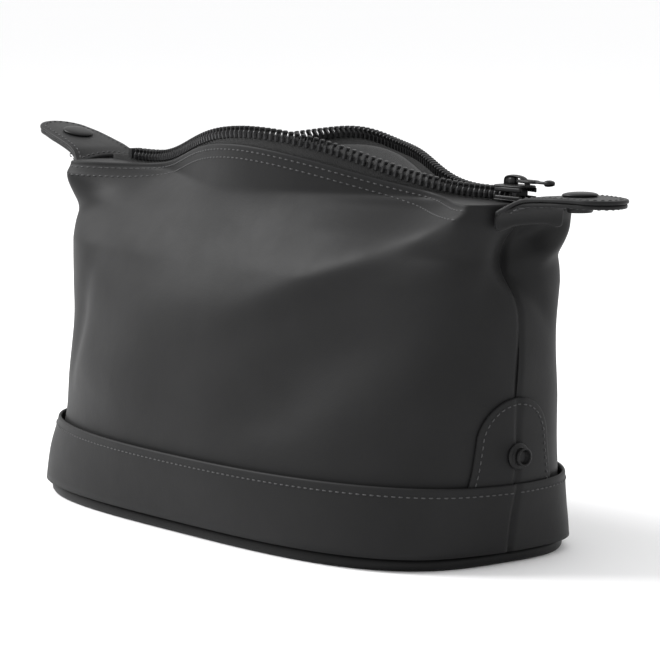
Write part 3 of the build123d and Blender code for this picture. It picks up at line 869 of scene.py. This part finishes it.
def build_slider():
    outline_points = [(-8.0, -6.0), (-2.0, -5.8), (5.0, -5.0), (7.6, -3.6), (8.0, 0), (7.6, 3.6), (5.0, 5.0),
                      (-2.0, 5.8), (-8.0, 6.0), (-7.6, 3.0), (-6.2, 0), (-7.6, -3.0)]
    border = [(p.x, p.y) for p in resample([(a, b, 0) for a, b in outline_points], 96, closed=True)]

    def floor_plate(a, b, h):
        return Vector((SLIDER_X + a, b, SLIDER_BOTTOM + h))

    def domed(a, b, h):
        return Vector((SLIDER_X + a, b, SLIDER_TOP - 1.3 + h * (1 - (b / 12) ** 2)))

    parts = [
        plate("slider_top", border, (0, 0), domed, 1.3, SLIDER_METAL, edge=0.6, rings=8),
        plate("slider_bottom", border, (0, 0), floor_plate, 0.9, SLIDER_METAL, edge=0.4, rings=8),
    ]
    for side in (-1, 1):
        for z, tall in ((SLIDER_TOP - 2.1, 2.0), (SLIDER_BOTTOM + 1.4, 1.8)):
            rail = [(SLIDER_X + a, side * b, z) for a, b in ((-7.6, 5.5), (0.0, 5.2), (7.0, 4.3))]
            parts.append(bar("slider_flange", resample(rail, 16), 0.9, tall, SLIDER_METAL))
    arch = [(-6.6, -0.8), (-6.4, 2.0), (-4.6, 3.2), (-1.0, 3.5), (3.2, 2.9), (5.8, 1.2), (6.6, -0.8)]
    crown = resample([(SLIDER_X + a, 0, SLIDER_TOP + h) for a, h in arch], 40)
    parts.append(bar("slider_crown", crown, 3.0, 0.9, SLIDER_METAL))
    web = [Vector((SLIDER_X + a, 0, SLIDER_TOP + 1.2)) for a in (-5.9, -0.6)]
    parts.append(bar("slider_web", web, 2.6, 3.6, SLIDER_METAL))
    post = [(0.0, 1.0), (SLIDER_TOP - SLIDER_BOTTOM, 1.0)]
    foot = (SLIDER_X - 6.0, 0, SLIDER_BOTTOM)
    parts.append(lathe("slider_wedge", post, foot, (0, 0, 1), SLIDER_METAL, 16))
    settle(join("slider_cast", parts), "slider", "slider_metal", "zip_slider")


# distance from the hinge pin, width and thickness along the pull's stem
PULL_STEM = ((8.9, 3.4, 1.2), (11.0, 2.6, 1.2), (14.0, 2.4, 1.2), (15.2, 2.6, 1.4), (15.8, 4.2, 2.5),
             (16.6, 4.6, 2.8), (17.8, 4.0, 2.4), (18.8, 3.0, 1.8), (19.3, 1.2, 0.8))


def build_pull():
    axis = Vector((PULL_AXIS_X, 0, PULL_AXIS_Z))
    ring = []
    for k in range(48):
        angle = 2 * pi * k / 48
        c, s = cos(angle), sin(angle)
        radius = (abs(c / 5.0) ** 2.6 + abs(s / 2.5) ** 2.6) ** (-1 / 2.6)
        ring.append(axis + Vector((4.4 + c * radius, s * radius, 0)))
    loop = bar("pull_loop", ring, 1.3, 1.2, SLIDER_METAL, across=(0, 0, 1), closed=True)
    reach, width, depth = (list(column) for column in zip(*PULL_STEM))
    stem = bar("pull_stem", [axis + Vector((d, 0, 0)) for d in reach], width, depth, SLIDER_METAL)
    settle(join("pull_cast", [loop, stem]), "pull", "slider_metal", "zip_pull")


# ---------------------------------------------------------------- end tabs with their snaps
def tab_border(cut, root, count=150):
    """Leaf outline of a tab: flared root corners, drawn-in sides, round tip."""
    sides = [(root + cut, 19.3), (1.5, 18.9), (6.0, 17.4), (13.0, 16.2), (22.0, 15.4), (30.0, 14.8),
             (37.5, 13.4)]
    upper = [(a, b - cut) for a, b in sides]
    for k in range(1, 8):
        angle = pi / 2 - pi * k / 8
        upper.append((37.5 + (13.5 - cut) * cos(angle), (13.4 - cut) * sin(angle)))
    lower = [(a, -(b - cut)) for a, b in reversed(sides)]
    root_edge = [(root + cut + 0.9, -9.0), (root + cut + 1.2, 0.0), (root + cut + 0.9, 9.0)]
    loop = upper + lower + root_edge
    return [(p.x, p.y) for p in resample([(a, b, 0) for a, b in loop], count, closed=True)]


def tab_frame(word):
    side, lift = SIDE[word], radians(LIFT[word])
    out = Vector((side * cos(lift), 0, sin(lift)))
    up = Vector((-side * sin(lift), 0, cos(lift)))
    return Vector((side * HINGE_X, 0, HINGE_Z)), out, up


def tab_place(word):
    """Bends a flat tab: its middle arches, its long edges and root corners droop."""
    hinge, out, up = tab_frame(word)
    arch, curl, droop = {"left": (1.0, 0.0022, 0.005), "right": (1.2, 0.0010, 0.010)}[word]

    def place(a, b, h):
        sag = curl * b * b + droop * b * b * (1 - ease(a, -2.0, 13.0))
        rise = arch * sin(pi * max(0.0, min(1.0, a / 54.0))) - 1.2 * (1 - ease(a, -4.0, 8.0))
        return hinge + out * a + Vector((0, b, 0)) + up * (h + rise - sag)

    return place


WRAP_RADIUS, WRAP_START, WRAP_DROP = 8.2, 4.5, 4.0


def under_place(word):
    """The lower layer: flat under the tab, then curled down onto the end of the bag."""
    hinge, out, up = tab_frame(word)
    flat_place = tab_place(word)
    down_angle = pi / 2 + radians(LIFT[word])
    centre = hinge + out * WRAP_START - up * WRAP_RADIUS

    def place(a, b, h):
        low = h - 0.1 - TAB_THICK
        if a >= WRAP_START:
            return flat_place(a, b, low)
        angle = min((WRAP_START - a) / WRAP_RADIUS, down_angle)
        rest = WRAP_START - a - angle * WRAP_RADIUS
        ray = up * cos(angle) - out * sin(angle)
        tangent = -out * cos(angle) - up * sin(angle)
        start = flat_place(WRAP_START, b, low)
        base = hinge + out * WRAP_START + up * low
        fade = (start - base - Vector((0, b, 0))) * (1 - ease(WRAP_START - a, 0.0, 8.0))
        return centre + ray * (WRAP_RADIUS + low) + tangent * rest + Vector((0, b, 0)) + fade

    return place


def build_tab(word):
    body = f"{word}_tab"
    place, below = tab_place(word), under_place(word)

    upper = plate(f"{word}_tab_leaf", tab_border(0.0, -2.5), (24, 0), lambda a, b, h: place(a, b, h + 0.1),
                  TAB_THICK, TAB_CLOTH, edge=0.7, rings=22)
    under = plate(f"{word}_tab_backing", tab_border(0.6, -12.0), (20, 0), below, TAB_THICK, TAB_CLOTH,
                  edge=0.6, rings=30)
    path = []
    for a, b in tab_border(2.6, -2.5, 420):
        low, high = place(a, b, 0.1 + TAB_THICK), place(a, b, 1.1 + TAB_THICK)
        path.append((low, (high - low).normalized()))
    top_row = stitch_row(f"{word}_tab_stitches", path, THREAD)
    path = []
    for a, b in tab_border(2.6, 7.0, 420):
        low, high = below(a, b, 0.0), below(a, b, -1.0)
        path.append((low, (high - low).normalized()))
    bottom_row = stitch_row(f"{word}_tab_under_stitches", path, THREAD)
    under_nodes = (f"{word}_tab_under", f"{word}_tab_anchor")
    for piece, nodes in ((upper, (f"{word}_tab_upper",)), (under, under_nodes), (top_row, ()), (bottom_row, ())):
        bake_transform(piece)
        if nodes:
            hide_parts(*nodes)

    cap_seat = place(CAP_REACH, 0, TAB_THICK + 0.1)
    axis = (place(CAP_REACH, 0, 1) - place(CAP_REACH, 0, 0)).normalized()
    dome = [(-3.2, 1.9), (-0.05, 1.9), (0.0, 7.0), (0.25, 7.45), (0.7, 7.5)]
    dome += [(0.7 + 1.3 * sin(pi / 2 * k / 9), 7.5 * cos(pi / 2 * k / 9) ** 0.8) for k in range(1, 10)]
    cap = lathe(f"{word}_cap_dome", dome, cap_seat, axis, SNAP_METAL, 64)
    settle(cap, body, "snap_metal", f"{word}_snap_cap")
    seat = below(CAP_REACH, 0, 0)
    ring = [(0.0, 2.2), (0.05, 6.0), (0.4, 6.35), (1.0, 6.3), (1.3, 5.6), (2.4, 5.35), (2.9, 5.0), (3.0, 4.5),
            (2.85, 4.0), (1.0, 3.9), (0.9, 2.2)]
    socket = lathe(f"{word}_socket_ring", ring, seat, -axis, SNAP_METAL, 64)
    settle(socket, body, "snap_metal", f"{word}_snap_socket")


# ---------------------------------------------------------------- CAD pieces that stay
def dress_cad():
    dress = {"base_board": BOARD, "zip_top_stops": TEETH_METAL, "zip_bottom_stop": TEETH_METAL,
             "left_stud_rivet": SNAP_METAL, "right_stud_rivet": SNAP_METAL}
    for node, material in dress.items():
        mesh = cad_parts[node].data
        mesh.materials.clear()
        mesh.materials.append(material)


# ---------------------------------------------------------------- studio
def build_stage():
    mesh = bpy.data.meshes.new("floor")
    size = 12.0
    corners = [(-size, -size, 0), (size, -size, 0), (size, size, 0), (-size, size, 0)]
    mesh.from_pydata(corners, [], [(0, 1, 2, 3)])
    floor = bpy.data.objects.new("floor", mesh)
    bpy.context.scene.collection.objects.link(floor)
    material, _, shader = shader_of("studio_white")
    shader.inputs["Base Color"].default_value = (0.95, 0.95, 0.955, 1)
    shader.inputs["Roughness"].default_value = 0.9
    shader.inputs["Specular IOR Level"].default_value = 0.1
    mesh.materials.append(material)

    world = bpy.data.worlds.new("studio")
    bpy.context.scene.world = world
    world.use_nodes = True
    background = world.node_tree.nodes["Background"]
    background.inputs["Color"].default_value = (1, 1, 1, 1)
    background.inputs["Strength"].default_value = 1.03


def add_softbox(name, position, target, size, power):
    data = bpy.data.lights.new(name, "AREA")
    data.shape = "RECTANGLE"
    data.size, data.size_y = size
    data.energy = power
    obj = bpy.data.objects.new(name, data)
    bpy.context.scene.collection.objects.link(obj)
    obj.location = position
    obj.rotation_euler = (Vector(target) - Vector(position)).to_track_quat("-Z", "Y").to_euler()


CAMERA_AZIMUTH, CAMERA_ELEVATION, CAMERA_ROLL = radians(50.0), radians(7.3), radians(0.8)
CAMERA_DISTANCE, CAMERA_LENS = 1.4437, 172.0
CAMERA_RIGHT, CAMERA_UP, CAMERA_HEIGHT = 0.0127, -0.00685, 0.0935


def build_camera():
    a, e, roll = CAMERA_AZIMUTH, CAMERA_ELEVATION, CAMERA_ROLL
    back = Vector((sin(a) * cos(e), -cos(a) * cos(e), sin(e)))
    right = Vector((cos(a), sin(a), 0))
    up = back.cross(right)
    target = right * CAMERA_RIGHT + up * CAMERA_UP + Vector((0, 0, CAMERA_HEIGHT))
    turned_right = right * cos(roll) + up * sin(roll)
    turned_up = up * cos(roll) - right * sin(roll)
    data = bpy.data.cameras.new("camera")
    data.lens = CAMERA_LENS
    data.sensor_width = 36.0
    data.clip_end = 50.0
    camera = bpy.data.objects.new("camera", data)
    bpy.context.scene.collection.objects.link(camera)
    rotation = Matrix((turned_right, turned_up, back)).transposed()
    camera.matrix_world = Matrix.Translation(target + back * CAMERA_DISTANCE) @ rotation.to_4x4()
    bpy.context.scene.camera = camera


build_walls()
build_base()
build_wall_stitches()
build_pocket()
build_tapes()
build_teeth()
build_slider()
build_pull()
for end in ("left", "right"):
    build_patch(end)
    build_stud(end)
    build_tab(end)
dress_cad()
build_stage()
build_camera()
add_softbox("key", (-1.3, -1.0, 1.5), (0, 0, 0.1), (1.0, 1.0), 52.0)
bpy.context.scene.view_settings.view_transform = "Standard"
